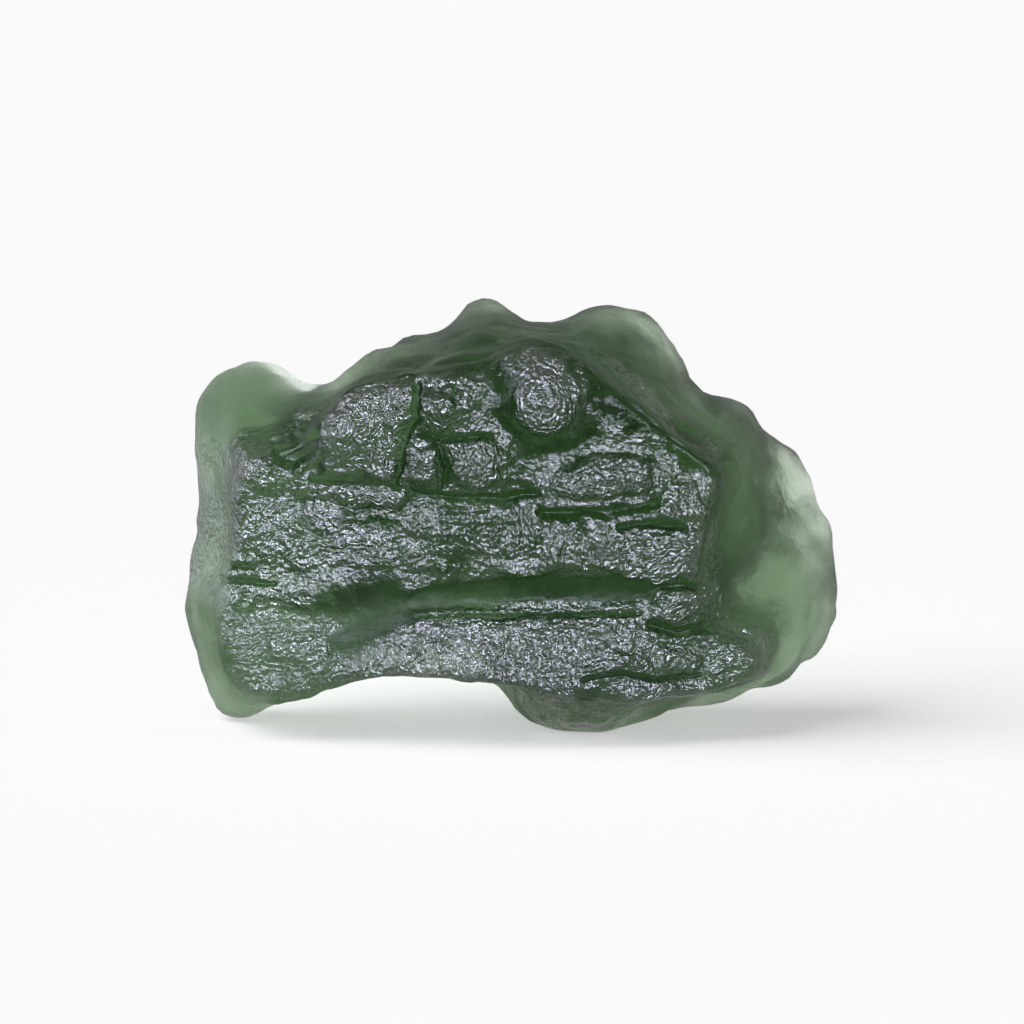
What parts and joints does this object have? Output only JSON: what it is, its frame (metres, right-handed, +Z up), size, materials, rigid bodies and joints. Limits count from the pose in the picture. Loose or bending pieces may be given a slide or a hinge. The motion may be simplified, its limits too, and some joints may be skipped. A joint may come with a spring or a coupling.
{
  "type": "moldavite",
  "caption": "Rough moldavite, a see-through green natural glass stone with an etched front face, scooped flanks and thin flanges, that stands on a small flat spot",
  "frame": {"origin": "middle of the bottom of the stone's box, on the surface that it stands on", "axes": "+Z up, +X to the right along the stone's length as its etched face is looked at, +Y away from the etched face through its thickness"},
  "size_m": [0.0266, 0.0124, 0.0173],
  "materials": {
    "green_glass": "etched natural glass, glossy on its fine relief"
  },
  "bodies": {
    "root": {"moldavite": "green_glass"}
  },
  "joints": []
}
